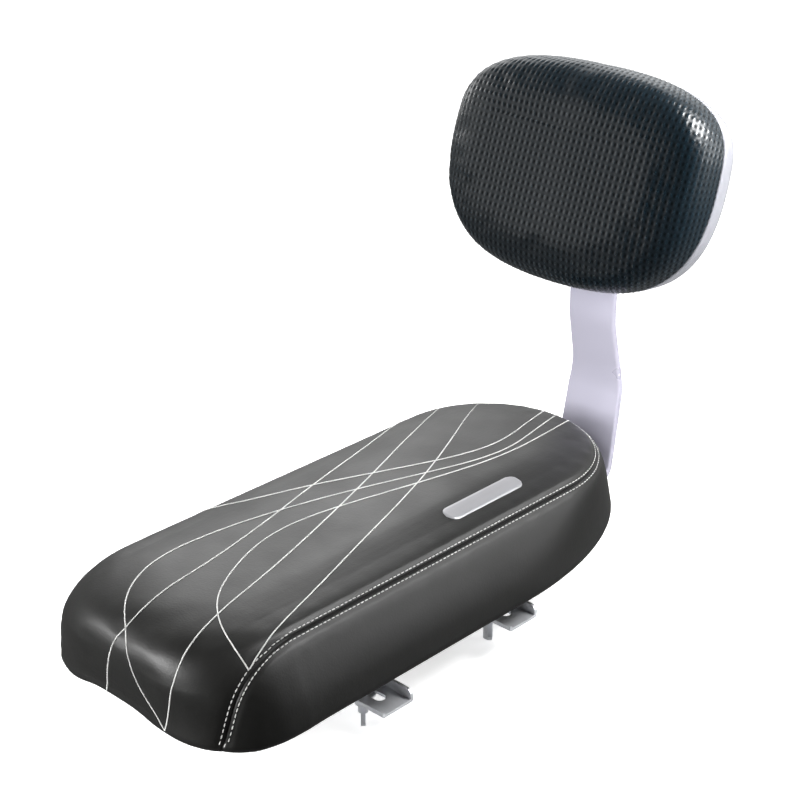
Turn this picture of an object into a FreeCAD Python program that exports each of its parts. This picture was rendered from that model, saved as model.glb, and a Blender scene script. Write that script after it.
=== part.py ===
"""Rear rack cushion seat: a padded bench with rack clamps and a padded backrest on a flat steel post.

Millimetres. The origin is the middle of the face that lies on the rack, +Z is up and +Y is the rear.
The backrest pieces are drawn in the pad's own plane (x across, y up the pad, z out of its front)
and then leaned back into place.
"""
import FreeCAD, Part
import math
import os

import Sketcher

Vector = FreeCAD.Vector

SIZES = {
    # Seat cushion: plan outline at the hem, and how far the shoulder and the seam draw in from it
    "seat_front": 200, "seat_rear": 193, "seat_width": 184,
    "front_corner": 53, "rear_curve": 150,
    "shoulder_height": 22, "shoulder_side_draw": 5.25, "shoulder_rear_draw": 3.5,
    "seam_height": 48.5, "seam_side_draw": 23, "seam_front_draw": 6, "seam_rear_draw": 22,
    "seam_corner": 56, "seam_rear_curve": 68, "seam_turn": 1.2,
    # Roll just below the seam: its share of the way up from the shoulder and how far it swells
    "roll_share": 0.68, "roll_side_swell": 1.5, "roll_front_swell": 3.3,
    # Crown of the top panel above the seam
    "crown_lip_inset": 4, "crown_lip_front": 2.6, "crown_lip_rise": 2,
    "crown_edge_inset": 13, "crown_edge_rise": 4.4, "crown_top_inset": 26, "crown_top_rise": 6.1,
    "crown_cap_inset": 38, "crown_rise": 6.5,
    # Cover and base board
    "cover_thickness": 1.2, "hem_width": 18, "hem_face": 0.5, "hem_gap": 0.5,
    "board_thickness": 12, "board_edge": 4,
    # Coach bolts of the rack clamps
    "bolt_diameter": 6, "bolt_length": 50, "bolt_head_diameter": 14, "bolt_head_height": 3,
    "bolt_head_top": 8, "bolt_neck_side": 6, "bolt_neck_height": 3.5,
    "bolt_play": 0.7, "head_play": 1.2, "neck_play": 0.2,
    "bolt_spread": 112, "front_row": 71, "rear_row": 39,
    # Clamp bars, washers and wing nuts
    "bar_length": 168, "bar_width": 25, "bar_sheet": 2, "bar_back_height": 8, "bar_lip_height": 3.5,
    "bar_corner": 4, "bar_bend": 1.5, "slot_width": 7, "slot_inner": 51, "slot_outer": 73,
    "front_bar_drop": 25.2, "rear_bar_drop": 17.8,
    "washer_diameter": 16, "washer_thickness": 1.2,
    "nut_diameter": 12, "nut_tip_diameter": 9.5, "nut_height": 7,
    "wing_reach": 15.5, "wing_drop": 13.5, "wing_thickness": 2.8, "wing_root": 6.5, "wing_angle": -45,
    "wing_shoulder": 1, "wing_tip": 1,
    # Post: flat bar from under the board to the back of the pad, placed from the cushion's rear end
    "post_thickness": 5, "post_width": 45, "post_neck_width": 36,
    "post_taper_low": 36, "post_taper_high": 92,
    "foot_reach": 81, "heel_behind": 8.5, "belly_behind": 20.5, "belly_height": 66,
    "throat_behind": 11.5, "throat_height": 108, "post_top": 38,
    "heel_radius": 10, "post_radius": 60, "post_end_share": 0.33, "post_foot_share": 0.18,
    "foot_gap": 0.4, "foot_bolt_near": 63, "foot_bolt_far": 33,
    # Hexagon bolts and tee nuts that hold the post
    "hex_across": 10, "hex_height": 4, "foot_bolt_length": 15.5,
    "tee_flange": 17, "tee_flange_thickness": 1.2, "tee_barrel": 8, "tee_length": 8, "tee_play": 0.2,
    # Backrest pad: its place, lean and outline
    "backrest_tilt": 18, "backrest_ahead": 4, "backrest_height": 210.7,
    "pad_width": 196.4, "pad_rise": 44.7, "pad_fall": 95.7, "pad_squareness": 2.77, "pad_taper": 0.055,
    "pad_edge_depth": 11, "pad_edge_inset": 0.6, "pad_roll_depth": 20, "pad_roll_inset": 3.5,
    "pad_brow_depth": 26, "pad_brow_inset": 9, "pad_front_depth": 30.5, "pad_front_inset": 22,
    "pad_top_depth": 32.2, "pad_top_inset": 35, "pad_crown_depth": 32.5, "pad_crown_inset": 42,
    "pad_cover": 1, "pad_hem_width": 14, "pad_board_thickness": 6, "pad_board_edge": 4,
    # Shell behind the pad
    "shell_wall": 2.5, "shell_rim_inset": 0.8, "shell_side_depth": 14, "shell_side_inset": 2.5,
    "shell_turn_depth": 22, "shell_turn_inset": 10, "shell_dish_depth": 25.2, "shell_dish_inset": 20,
    "shell_back_depth": 26.6, "shell_back_inset": 29, "shell_depth": 27, "shell_flat_inset": 36,
    "shell_gap": 0.15,
    "boss_diameter": 14, "back_bolt_low": -12, "back_bolt_high": 24, "back_bolt_length": 38,
    "pad_tee_length": 5.5,
}
OUTLINE_POINTS = 24
NEAR = 0.01

doc = FreeCAD.newDocument("rear_rack_cushion_seat")
sheet = doc.addObject("Spreadsheet::Sheet", "sizes")
for row, (alias, value) in enumerate(SIZES.items(), start=1):
    sheet.set(f"A{row}", alias)
    sheet.set(f"B{row}", str(value))
    sheet.setAlias(f"B{row}", alias)
doc.recompute()


def size(alias):
    """A driving size, read from the sheet."""
    return float(sheet.get(alias))


def value(expression):
    """What an expression over the sheet comes to."""
    return float(sheet.evalExpression(expression))


# Small builders for document objects whose sizes and places are bound to the sheet

def bind(obj, **expressions):
    for prop, expression in expressions.items():
        obj.setExpression(prop, expression)
    return obj


def place(obj, x="0", y="0", z="0"):
    for axis, expression in zip("xyz", (x, y, z)):
        obj.setExpression(f"Placement.Base.{axis}", expression)
    return obj


def cylinder(name, diameter, height, x="0", y="0", z="0"):
    obj = doc.addObject("Part::Cylinder", name)
    bind(obj, Radius=f"({diameter}) / 2", Height=height)
    return place(obj, x, y, z)


def cone(name, low_diameter, high_diameter, height, x="0", y="0", z="0"):
    obj = doc.addObject("Part::Cone", name)
    bind(obj, Radius1=f"({low_diameter}) / 2", Radius2=f"({high_diameter}) / 2", Height=height)
    return place(obj, x, y, z)


def hexagon(name, across, height, x="0", y="0", z="0"):
    obj = doc.addObject("Part::Prism", name)
    obj.Polygon = 6
    bind(obj, Circumradius=f"({across}) / sqrt(3)", Height=height)
    return place(obj, x, y, z)


def box(name, length, width, height, x="0", y="0", z="0"):
    """A box centred on x and y, standing on z."""
    obj = doc.addObject("Part::Box", name)
    bind(obj, Length=length, Width=width, Height=height)
    return place(obj, f"({x}) - ({length}) / 2", f"({y}) - ({width}) / 2", z)


def fuse(name, pieces):
    obj = doc.addObject("Part::MultiFuse", name)
    obj.Shapes = pieces
    return obj


def cut(name, base, tools):
    obj = doc.addObject("Part::Cut", name)
    obj.Base = base
    obj.Tool = tools[0] if len(tools) == 1 else fuse(name + "_tools", tools)
    return obj


def common(name, pieces):
    obj = doc.addObject("Part::MultiCommon", name)
    obj.Shapes = pieces
    return obj


def group(name, pieces):
    obj = doc.addObject("Part::Compound", name)
    obj.Links = pieces
    return obj


def loft(name, wires):
    obj = doc.addObject("Part::Loft", name)
    obj.Sections = wires
    obj.Solid = True
    return obj


def extrude(name, wire, height):
    obj = doc.addObject("Part::Extrusion", name)
    obj.Base = wire
    obj.DirMode = "Custom"
    obj.Dir = Vector(0, 0, 1)
    obj.Solid = True
    return bind(obj, LengthFwd=height)


def feature(name, shape):
    obj = doc.addObject("Part::Feature", name)
    obj.Shape = shape
    return obj


nodes = []


def node(obj, name):
    """Names a finished sub-part."""
    obj.Label = name
    nodes.append(obj)
    return obj


def lean(obj):
    """Takes a piece from the pad's own plane to its place on the leaning backrest."""
    obj.Placement = FreeCAD.Placement(Vector(), FreeCAD.Rotation(Vector(1, 0, 0), 90))
    obj.setExpression("Placement.Rotation.Angle", "90 - sizes.backrest_tilt")
    return place(obj, "0", "sizes.seat_rear - sizes.backrest_ahead", "sizes.backrest_height")


# Plan outlines of the seat: straight front with round corners, straight sides, half-elliptic rear

def seat_outline(name, half_width, front, rear, corner, curve, z):
    def point(x, y):
        return Vector(x, y, z)

    bend = corner * math.sqrt(0.5)
    side = corner - bend
    start = rear - curve
    tip, flank = point(0, rear), point(half_width, start)
    if curve > half_width:
        oval = Part.Ellipse(tip, point(-half_width, start), point(0, start))
        quarters = ((-math.pi / 2, 0), (0, math.pi / 2))
    else:
        oval = Part.Ellipse(flank, tip, point(0, start))
        quarters = ((0, math.pi / 2), (math.pi / 2, math.pi))
    edges = [
        Part.LineSegment(point(-half_width + corner, -front), point(half_width - corner, -front)),
        Part.Arc(point(half_width - corner, -front), point(half_width - side, -front + side),
                 point(half_width, -front + corner)),
        Part.LineSegment(point(half_width, -front + corner), point(half_width, start)),
        Part.ArcOfEllipse(oval, *quarters[0]),
        Part.ArcOfEllipse(oval, *quarters[1]),
        Part.LineSegment(point(-half_width, start), point(-half_width, -front + corner)),
        Part.Arc(point(-half_width, -front + corner), point(-half_width + side, -front + side),
                 point(-half_width + corner, -front)),
    ]
    return feature(name, Part.Wire([edge.toShape() for edge in edges]))


# Half width, front, rear, front corner and rear curve of each level of the cushion
hem_level = [size("seat_width") / 2, size("seat_front"), size("seat_rear"), size("front_corner"),
             size("rear_curve")]
shoulder_level = [hem_level[0] - size("shoulder_side_draw"), size("seat_front"),
                  size("seat_rear") - size("shoulder_rear_draw"), size("front_corner"),
                  size("rear_curve") - size("shoulder_rear_draw")]
seam_level = [hem_level[0] - size("seam_side_draw"), size("seat_front") - size("seam_front_draw"),
              size("seat_rear") - size("seam_rear_draw"), size("seam_corner"), size("seam_rear_curve")]
roll_level = [low + size("roll_share") * (high - low) for low, high in zip(shoulder_level, seam_level)]
roll_level[0] += size("roll_side_swell")
roll_level[1] += size("roll_front_swell")
roll_level[2] += size("roll_side_swell")
lip_level = [value - size("crown_lip_inset") for value in seam_level]
lip_level[1] = seam_level[1] - size("crown_lip_front")


def level_outline(name, level, inset, z):
    return seat_outline(name, *[value - inset for value in level], z)


def cushion_form(name, inset):
    """The whole cushion, shrunk by inset on every side: sloping sides to the seam and a low crown."""
    seam = size("seam_height") - inset
    shoulder = size("shoulder_height")
    sides = loft(name + "_sides", [
        level_outline(name + "_hem", hem_level, inset, size("hem_face") + inset),
        level_outline(name + "_shoulder", shoulder_level, inset, shoulder),
        level_outline(name + "_roll", roll_level, inset, shoulder + size("roll_share") * (seam - shoulder)),
        level_outline(name + "_seam", seam_level, inset, seam),
    ])
    crown = loft(name + "_crown", [
        level_outline(name + "_crown_foot", seam_level, inset, seam),
        level_outline(name + "_crown_lip", lip_level, inset, seam + size("crown_lip_rise")),
        level_outline(name + "_crown_edge", seam_level, inset + size("crown_edge_inset"),
                      seam + size("crown_edge_rise")),
        level_outline(name + "_crown_top", seam_level, inset + size("crown_top_inset"),
                      seam + size("crown_top_rise")),
        level_outline(name + "_crown_cap", seam_level, inset + size("crown_cap_inset"),
                      seam + size("crown_rise")),
    ])
    return fuse(name, [sides, crown])


# Base board: a slab with a raised land, so that the hem of the cover lies clear of the rack

hem_top = "sizes.hem_face + sizes.cover_thickness"
slab_wire = level_outline("slab_outline", hem_level, size("cover_thickness") + size("board_edge"),
                          size("hem_face") + size("cover_thickness"))
slab = extrude("board_slab", slab_wire, f"sizes.board_thickness - ({hem_top})")
land_wire = level_outline("land_outline", hem_level, size("hem_width") + size("hem_gap"), 0)
land = extrude("board_land", land_wire, hem_top)
board_blank = fuse("board_blank", [slab, land])

clamp_rows = ("-sizes.front_row", "sizes.rear_row")
clamp_sides = ("-sizes.bolt_spread / 2", "sizes.bolt_spread / 2")
clamp_places = [(x, y) for y in clamp_rows for x in clamp_sides]
foot_places = [("0", f"sizes.seat_rear - sizes.foot_bolt_{end}") for end in ("near", "far")]
head_z = "sizes.board_thickness - sizes.bolt_head_height"
neck_z = f"{head_z} - sizes.bolt_neck_height"

board_cuts = []
for number, (x, y) in enumerate(clamp_places, start=1):
    neck_side = "sizes.bolt_neck_side + sizes.neck_play"
    board_cuts += [
        cylinder(f"board_bolt_hole_{number}", "sizes.bolt_diameter + sizes.bolt_play",
                 "sizes.board_thickness", x, y),
        box(f"board_neck_hole_{number}", neck_side, neck_side, "sizes.bolt_neck_height", x, y, neck_z),
        cylinder(f"board_head_hole_{number}", "sizes.bolt_head_diameter + sizes.head_play",
                 "sizes.bolt_head_height", x, y, head_z),
    ]
for number, (x, y) in enumerate(foot_places, start=1):
    board_cuts += [
        cylinder(f"board_tee_hole_{number}", "sizes.tee_barrel + sizes.tee_play",
                 "sizes.board_thickness", x, y),
        cylinder(f"board_tee_seat_{number}", "sizes.tee_flange + sizes.tee_play",
                 "sizes.tee_flange_thickness", x, y, "sizes.board_thickness - sizes.tee_flange_thickness"),
    ]
foot_seat_length = "sizes.foot_reach + sizes.foot_gap"
board_cuts.append(
    box("board_foot_seat", "sizes.post_width + 2 * sizes.foot_gap", foot_seat_length, "sizes.hem_face",
        "0", f"sizes.seat_rear - ({foot_seat_length}) / 2"))
node(cut("seat_base_board", board_blank, board_cuts), "seat_base_board")

# Cushion: foam inside a cover that is split along the seam into a top panel and a side band

outer_form = cushion_form("cushion_outer", 0)
inner_form = cushion_form("cushion_inner", size("cover_thickness"))
node(cut("seat_foam", inner_form, [board_blank]), "seat_foam")

opening_wire = level_outline("hem_opening_outline", hem_level, size("hem_width"), 0)
hem_opening = extrude("hem_opening", opening_wire, "sizes.board_thickness")
cover = cut("seat_cover", outer_form, [inner_form, hem_opening])

panel_low = "sizes.seam_height - sizes.seam_turn"
panel_slab = box("panel_slab", "2 * sizes.seat_width", "4 * sizes.seat_front",
                 "sizes.crown_rise + 2 * sizes.seam_turn", "0", "0", panel_low)
strip_front = "sizes.seat_front + sizes.hem_width"
strip_length = "sizes.hem_width + sizes.seam_front_draw + sizes.seam_corner"
front_strip = box("panel_front_strip", "sizes.seat_width - 2 * sizes.seam_side_draw", strip_length,
                  panel_low, "0", f"-({strip_front}) + ({strip_length}) / 2")
panel_tool = fuse("panel_tool", [panel_slab, front_strip])
node(common("seat_top_panel", [cover, panel_tool]), "seat_top_panel")
node(cut("seat_side_band", cover, [panel_tool]), "seat_side_band")

# Coach bolts: round head in the board, square neck, plain shank down through the clamp bar

coach_bolts = []
for number, (x, y) in enumerate(clamp_places, start=1):
    parts = [
        cylinder(f"coach_shank_{number}", "sizes.bolt_diameter", "sizes.bolt_length", x, y,
                 f"{head_z} - sizes.bolt_length"),
        box(f"coach_neck_{number}", "sizes.bolt_neck_side", "sizes.bolt_neck_side",
            "sizes.bolt_neck_height", x, y, neck_z),
        cone(f"coach_head_{number}", "sizes.bolt_head_diameter", "sizes.bolt_head_top",
             "sizes.bolt_head_height", x, y, head_z),
    ]
    coach_bolts.append(fuse(f"coach_bolt_{number}", parts))
node(group("clamp_bolts", coach_bolts), "clamp_bolts")


# Clamp bars: folded channels with a tall back flange, a low front lip and a slot at each end

def origin_plane(body, role):
    return next(item for item in body.Origin.OriginFeatures if item.Role == role)


def new_sketch(body, name, role):
    sketch = body.newObject("Sketcher::SketchObject", name)
    sketch.AttachmentSupport = [(origin_plane(body, role), "")]
    sketch.MapMode = "FlatFace"
    return sketch


def fix_point(sketch, geometry, position, x, y):
    """Ties a point of the sketch to x and y, two expressions measured from the sketch's origin."""
    for kind, expression in (("DistanceX", x), ("DistanceY", y)):
        number = sketch.addConstraint(
            Sketcher.Constraint(kind, -1, 1, geometry, position, value(expression)))
        sketch.setExpression(f"Constraints[{number}]", expression)


def polygon(sketch, corners):
    count = len(corners)
    ring = [Vector(value(x), value(y), 0) for x, y in corners]
    sides = [sketch.addGeometry(Part.LineSegment(ring[i], ring[(i + 1) % count])) for i in range(count)]
    for i, side in enumerate(sides):
        sketch.addConstraint(Sketcher.Constraint("Coincident", side, 2, sides[(i + 1) % count], 1))
    for side, (x, y) in zip(sides, corners):
        fix_point(sketch, side, 1, x, y)


def long_hole(sketch, x_low, x_high, width):
    """A slot along x, between its two ends x_low and x_high."""
    radius = value(width) / 2
    left, right = value(x_low) + radius, value(x_high) - radius
    first = sketch.addGeometry(Part.LineSegment(Vector(left, -radius, 0), Vector(right, -radius, 0)))
    high = sketch.addGeometry(Part.ArcOfCircle(
        Part.Circle(Vector(right, 0, 0), Vector(0, 0, 1), radius), -math.pi / 2, math.pi / 2))
    second = sketch.addGeometry(Part.LineSegment(Vector(right, radius, 0), Vector(left, radius, 0)))
    low = sketch.addGeometry(Part.ArcOfCircle(
        Part.Circle(Vector(left, 0, 0), Vector(0, 0, 1), radius), math.pi / 2, 3 * math.pi / 2))
    for one, end, other, start in ((first, 2, high, 1), (high, 2, second, 1),
                                   (second, 2, low, 1), (low, 2, first, 1)):
        sketch.addConstraint(Sketcher.Constraint("Tangent", one, end, other, start))
    number = sketch.addConstraint(Sketcher.Constraint("Radius", high, radius))
    sketch.setExpression(f"Constraints[{number}]", f"({width}) / 2")
    sketch.addConstraint(Sketcher.Constraint("Equal", high, low))
    fix_point(sketch, high, 3, f"({x_high}) - ({width}) / 2", "0")
    fix_point(sketch, low, 3, f"({x_low}) + ({width}) / 2", "0")


def edges_along(shape, direction, test):
    """Names of the straight edges along a direction whose middle passes the test."""
    names = []
    for number, edge in enumerate(shape.Edges, start=1):
        span = edge.Vertexes[-1].Point - edge.Vertexes[0].Point
        if span.Length > 0 and abs(span.normalize().dot(direction)) > 0.999 and test(edge.CenterOfMass):
            names.append(f"Edge{number}")
    return names


def clamp_bar(name, row, drop):
    """A bar across the rack: web, back flange on its rear side and lip on its front side."""
    body = doc.addObject("PartDesign::Body", name)
    place(body, "0", row, f"-({drop})")
    section = new_sketch(body, name + "_section", "YZ_Plane")
    half, sheet_t = "sizes.bar_width / 2", "sizes.bar_sheet"
    lip, back = f"sizes.bar_lip_height - {sheet_t}", f"sizes.bar_back_height - {sheet_t}"
    polygon(section, [
        (f"-({half})", f"-{sheet_t}"), (half, f"-{sheet_t}"), (half, back), (f"{half} - {sheet_t}", back),
        (f"{half} - {sheet_t}", "0"), (f"-{half} + {sheet_t}", "0"), (f"-{half} + {sheet_t}", lip),
        (f"-({half})", lip)])
    channel = body.newObject("PartDesign::Pad", name + "_channel")
    channel.Profile = section
    channel.SideType = "Symmetric"
    bind(channel, Length="sizes.bar_length")
    doc.recompute()
    half_width = size("bar_width") / 2
    folds = body.newObject("PartDesign::Fillet", name + "_folds")
    outer = edges_along(channel.Shape, Vector(1, 0, 0),
                        lambda p: p.z < -size("bar_sheet") / 2 and abs(p.y) > half_width / 2)
    folds.Base = (channel, outer)
    bind(folds, Radius="sizes.bar_bend")
    doc.recompute()
    ends = body.newObject("PartDesign::Fillet", name + "_flange_ends")
    ends.Base = (folds, edges_along(folds.Shape, Vector(0, 1, 0), lambda p: p.z > size("bar_lip_height")))
    bind(ends, Radius="sizes.bar_corner")
    doc.recompute()
    slots = new_sketch(body, name + "_slots_outline", "XY_Plane")
    long_hole(slots, "sizes.slot_inner", "sizes.slot_outer", "sizes.slot_width")
    long_hole(slots, "-sizes.slot_outer", "-sizes.slot_inner", "sizes.slot_width")
    doc.recompute()
    pocket = body.newObject("PartDesign::Pocket", name + "_slots")
    pocket.Profile = slots
    pocket.Type = "ThroughAll"
    body.Tip = pocket
    doc.recompute()
    if pocket.Shape.Volume > ends.Shape.Volume - size("slot_width") * size("bar_sheet"):
        raise RuntimeError(name + ": the slots cut nothing")
    return node(body, name)


# Washers and wing nuts of the clamps

def ring(name, outer, inner, height, x, y, z):
    return cut(name, cylinder(name + "_disc", outer, height, x, y, z),
               [cylinder(name + "_hole", inner, height, x, y, z)])


def wing_nut_shape():
    """A wing nut hanging under its washer: tapered hub, two swept-down wings and a clear bore."""
    hub = Part.makeCone(size("nut_diameter") / 2, size("nut_tip_diameter") / 2, size("nut_height"),
                        Vector(), Vector(0, 0, -1))
    reach, drop, root = size("wing_reach"), size("wing_drop"), size("wing_root")
    start = size("bolt_diameter") / 2 + size("bolt_play")
    tip = size("wing_tip")
    inner_high = Vector(start, 0, -size("wing_shoulder"))
    inner_low = Vector(start, 0, -root)
    lobe_start = Vector((start + reach) / 2, 0, tip - drop)
    lobe_middle = Vector(reach - tip, 0, tip / 2 - drop)
    lobe_end = Vector(reach, 0, root / 2 - drop)
    profile = Part.Wire([
        Part.LineSegment(inner_high, inner_low).toShape(),
        Part.LineSegment(inner_low, lobe_start).toShape(),
        Part.Arc(lobe_start, lobe_middle, lobe_end).toShape(),
        Part.LineSegment(lobe_end, inner_high).toShape(),
    ])
    thickness = size("wing_thickness")
    wing = Part.Face(profile).extrude(Vector(0, thickness, 0))
    wing.translate(Vector(0, -thickness / 2, 0))
    other = wing.copy()
    other.rotate(Vector(), Vector(0, 0, 1), 180)
    bore = Part.makeCylinder((size("bolt_diameter") + size("bolt_play")) / 2, size("nut_height"),
                             Vector(), Vector(0, 0, -1))
    nut = hub.fuse([wing, other]).removeSplitter().cut(bore)
    nut.rotate(Vector(), Vector(0, 0, 1), size("wing_angle"))
    return nut


def clamp_hardware(end, row, drop):
    """Washers and wing nuts under a clamp bar."""
    web_low = f"-({drop}) - sizes.bar_sheet"
    washers = [ring(f"{end}_clamp_washer_{number}", "sizes.washer_diameter",
                    "sizes.bolt_diameter + sizes.bolt_play", "sizes.washer_thickness", x, row,
                    f"{web_low} - sizes.washer_thickness")
               for number, x in enumerate(clamp_sides, start=1)]
    node(group(f"{end}_clamp_washers", washers), f"{end}_clamp_washers")
    nuts = []
    for number, x in enumerate(clamp_sides, start=1):
        nut = feature(f"{end}_wing_nut_{number}", wing_nut_shape())
        nuts.append(place(nut, x, row, f"{web_low} - sizes.washer_thickness"))
    node(group(f"{end}_wing_nuts", nuts), f"{end}_wing_nuts")


clamp_bar("front_clamp_bar", clamp_rows[0], "sizes.front_bar_drop")
clamp_bar("rear_clamp_bar", clamp_rows[1], "sizes.rear_bar_drop")
clamp_hardware("front", clamp_rows[0], "sizes.front_bar_drop")
clamp_hardware("rear", clamp_rows[1], "sizes.rear_bar_drop")


# Post: a flat bar swept along a bent line, then narrowed above the seat

def bent_wire(corners, radii):
    """Straight runs in the plane x = 0, joined by tangent arcs; corners are (y, z) pairs."""
    points = [Vector(0, y, z) for y, z in corners]
    edges = []
    start = points[0]
    for before, corner, after, radius in zip(points, points[1:], points[2:], radii):
        back = (before - corner).normalize()
        ahead = (after - corner).normalize()
        half_turn = (math.pi - back.getAngle(ahead)) / 2
        reach = radius * math.tan(half_turn)
        bisector = (back + ahead).normalize()
        middle = corner + bisector * (radius / math.cos(half_turn) - radius)
        arc = Part.Arc(corner + back * reach, middle, corner + ahead * reach)
        edges.append(Part.LineSegment(start, corner + back * reach).toShape())
        edges.append(arc.toShape())
        start = corner + ahead * reach
    edges.append(Part.LineSegment(start, points[-1]).toShape())
    return Part.Wire(edges)


lean_angle = math.radians(size("backrest_tilt"))
bar_offset = size("shell_depth") + size("shell_gap") + size("post_thickness") / 2


def on_post(up):
    """Middle of the bar behind the pad, up the pad's own plane."""
    return (size("seat_rear") - size("backrest_ahead") + bar_offset * math.cos(lean_angle)
            + up * math.sin(lean_angle),
            size("backrest_height") - bar_offset * math.sin(lean_angle) + up * math.cos(lean_angle))


foot_z = size("hem_face") - size("post_thickness") / 2
foot_y = size("seat_rear") - size("foot_reach")
throat_y = size("seat_rear") + size("throat_behind")
neck = on_post((throat_y - on_post(0)[0]) / math.sin(lean_angle))
post_line = feature("post_line", bent_wire(
    [(foot_y, foot_z), (size("seat_rear") + size("heel_behind"), foot_z),
     (size("seat_rear") + size("belly_behind"), size("belly_height")), (throat_y, size("throat_height")),
     neck, on_post(size("post_top"))],
    [size("heel_radius"), size("post_radius"), size("post_radius"), size("post_radius")]))
bar_half = size("post_width") / 2
bar_ends = [Vector(x, foot_y, z)
            for x, z in ((-bar_half, foot_z - size("post_thickness") / 2),
                         (bar_half, foot_z - size("post_thickness") / 2),
                         (bar_half, foot_z + size("post_thickness") / 2),
                         (-bar_half, foot_z + size("post_thickness") / 2))]
bar_section = feature("post_section", Part.makePolygon(bar_ends + bar_ends[:1]))
bar = doc.addObject("Part::Sweep", "post_bar")
bar.Sections = [bar_section]
bar.Spine = (post_line, [f"Edge{number + 1}" for number in range(len(post_line.Shape.Edges))])
bar.Solid = True

front_view = doc.addObject("PartDesign::Body", "post_front_view")
front_outline = new_sketch(front_view, "post_front_outline", "XZ_Plane")
wide, slim = "sizes.post_width / 2", "sizes.post_neck_width / 2"
foot_low = "sizes.hem_face - sizes.post_thickness"
top_high = "sizes.backrest_height + sizes.pad_rise + sizes.pad_fall"
polygon(front_outline, [
    (f"-{wide}", foot_low), (wide, foot_low), (wide, "sizes.post_taper_low"),
    (slim, "sizes.post_taper_high"), (slim, top_high), (f"-{slim}", top_high),
    (f"-{slim}", "sizes.post_taper_high"), (f"-{wide}", "sizes.post_taper_low")])
front_pad = front_view.newObject("PartDesign::Pad", "post_front_pad")
front_pad.Profile = front_outline
front_pad.SideType = "Symmetric"
bind(front_pad, Length="4 * sizes.seat_rear")
doc.recompute()
post_blank = common("post_blank", [bar, front_view])
doc.recompute()


def corner_fillet(name, base, direction, test, radius):
    """Rounds the corners of a flat end; the edges run through the bar's thickness."""
    obj = doc.addObject("Part::Fillet", name)
    obj.Base = base
    numbers = [int(edge[len("Edge"):]) for edge in edges_along(base.Shape, direction, test)]
    obj.Edges = [(number, radius, radius) for number in numbers]
    doc.recompute()
    return obj


foot_round = corner_fillet("post_foot_round", post_blank, Vector(0, 0, 1),
                           lambda p: abs(p.y - foot_y) < NEAR,
                           size("post_foot_share") * size("post_width"))
top_y = on_post(size("post_top"))[0]
end_round = corner_fillet("post_end_round", foot_round,
                          Vector(0, math.cos(lean_angle), -math.sin(lean_angle)),
                          lambda p: abs(p.y - top_y) < size("post_thickness") and abs(p.x) > 1
                          and p.z > size("backrest_height"), size("post_end_share") * size("post_neck_width"))
hole = "sizes.bolt_diameter + sizes.bolt_play"
post_holes = [cylinder(f"post_foot_hole_{number}", hole, "2 * sizes.post_thickness", x, y,
                       "sizes.hem_face - 1.5 * sizes.post_thickness")
              for number, (x, y) in enumerate(foot_places, start=1)]
back_places = [("0", "sizes.back_bolt_low"), ("0", "sizes.back_bolt_high")]
back_holes = [cylinder(f"post_back_hole_{number}", hole, "2 * sizes.post_thickness", x, y,
                       "-sizes.shell_depth - 1.5 * sizes.post_thickness")
              for number, (x, y) in enumerate(back_places, start=1)]
leaning_holes = lean(group("post_back_holes", back_holes))
node(cut("backrest_post", end_round, post_holes + [leaning_holes]), "backrest_post")


# Hexagon bolts, washers and tee nuts: at the foot they stand upright, at the pad they lean with it

def tee_nuts(name, places, flange_top, length):
    nuts = []
    for number, (x, y) in enumerate(places, start=1):
        blank = fuse(f"{name}_blank_{number}", [
            cylinder(f"{name}_flange_{number}", "sizes.tee_flange", "sizes.tee_flange_thickness", x, y,
                     f"{flange_top} - sizes.tee_flange_thickness"),
            cylinder(f"{name}_barrel_{number}", "sizes.tee_barrel", length, x, y, f"{flange_top} - {length}"),
        ])
        thread = cylinder(f"{name}_thread_{number}", "sizes.bolt_diameter + sizes.tee_play", length, x, y,
                          f"{flange_top} - {length}")
        nuts.append(cut(f"{name}_{number}", blank, [thread]))
    return group(name, nuts)


def hex_bolts(name, places, seat_z, length):
    """Bolts whose heads hang below seat_z, with the shank upwards."""
    bolts = [fuse(f"{name}_{number}", [
        hexagon(f"{name}_head_{number}", "sizes.hex_across", "sizes.hex_height", x, y,
                f"{seat_z} - sizes.hex_height"),
        cylinder(f"{name}_shank_{number}", "sizes.bolt_diameter", length, x, y, seat_z),
    ]) for number, (x, y) in enumerate(places, start=1)]
    return group(name, bolts)


def flat_washers(name, places, seat_z):
    rings = [ring(f"{name}_{number}", "sizes.washer_diameter", hole, "sizes.washer_thickness", x, y,
                  f"{seat_z} - sizes.washer_thickness")
             for number, (x, y) in enumerate(places, start=1)]
    return group(name, rings)


foot_under = "sizes.hem_face - sizes.post_thickness"
node(tee_nuts("post_tee_nuts", foot_places, "sizes.board_thickness", "sizes.tee_length"), "post_tee_nuts")
node(flat_washers("post_washers", foot_places, foot_under), "post_washers")
node(hex_bolts("post_bolts", foot_places, f"{foot_under} - sizes.washer_thickness",
               "sizes.foot_bolt_length"), "post_bolts")

back_under = "-sizes.shell_depth - sizes.shell_gap - sizes.post_thickness"
pad_tees = tee_nuts("backrest_tee_nuts", back_places, "sizes.pad_board_thickness", "sizes.pad_tee_length")
node(lean(pad_tees), "backrest_tee_nuts")
node(lean(flat_washers("backrest_washers", back_places, back_under)), "backrest_washers")
node(lean(hex_bolts("backrest_bolts", back_places, f"{back_under} - sizes.washer_thickness",
                    "sizes.back_bolt_length")), "backrest_bolts")


# Backrest pad: outlines are squared-off ovals, widest above the middle

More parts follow.
